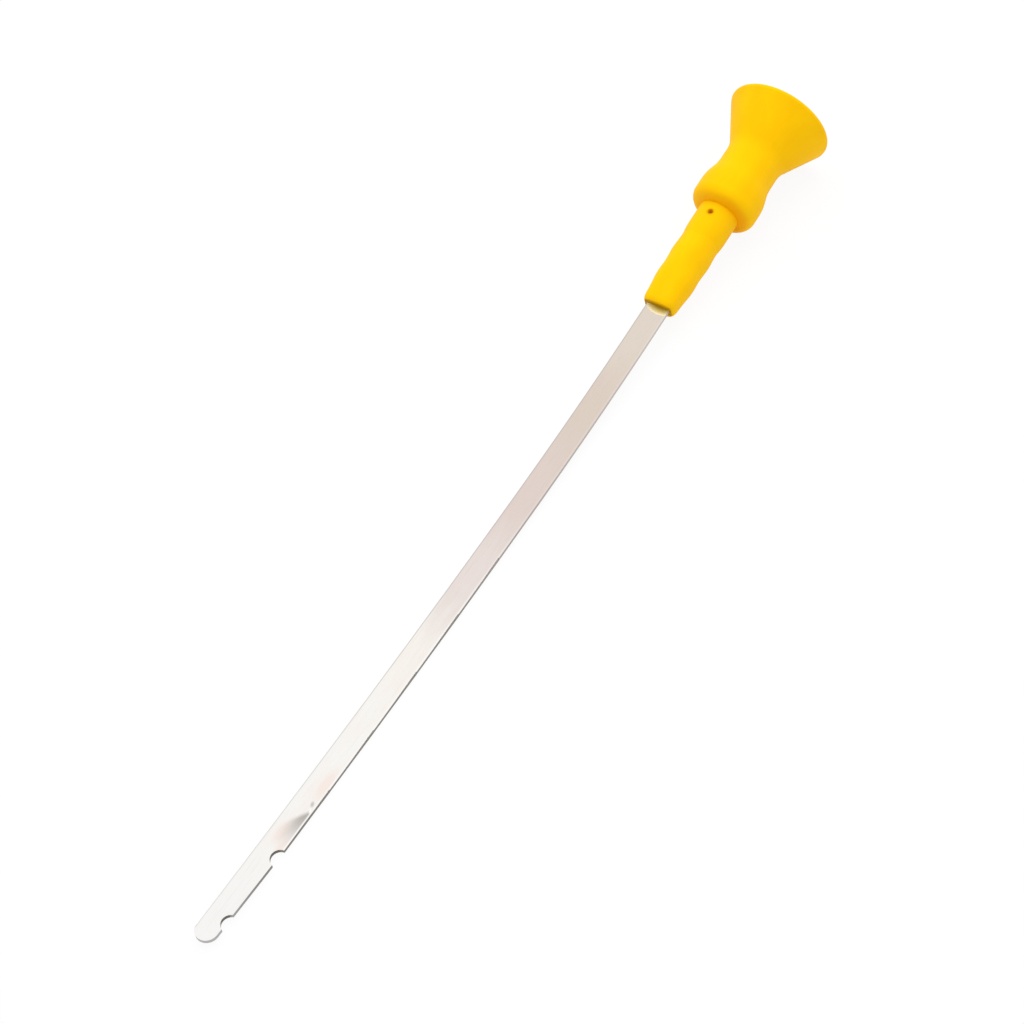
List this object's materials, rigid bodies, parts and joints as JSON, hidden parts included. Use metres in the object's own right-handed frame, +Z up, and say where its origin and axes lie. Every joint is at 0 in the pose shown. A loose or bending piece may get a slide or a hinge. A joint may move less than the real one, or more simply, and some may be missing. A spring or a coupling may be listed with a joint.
{
  "type": "engine oil dipstick",
  "caption": "Bent flat steel strip with a round tip and level notches in one edge, moulded into a yellow plastic pull handle with round stem, collar, neck and hollow flared bell.",
  "frame": {"origin": "middle of the underside of the part's bounding box, lying on a table", "axes": "+X along the length from the tip to the bell, +Z up, out of the strip's front face"},
  "size_m": [0.2512, 0.0266, 0.0264],
  "materials": {
    "blade": "bright rolled strip, slightly warm in tone",
    "handle": "smooth semi-matte moulded plastic, yellow"
  },
  "bodies": {
    "root": {"blade": "blade", "handle": "handle"}
  },
  "joints": []
}
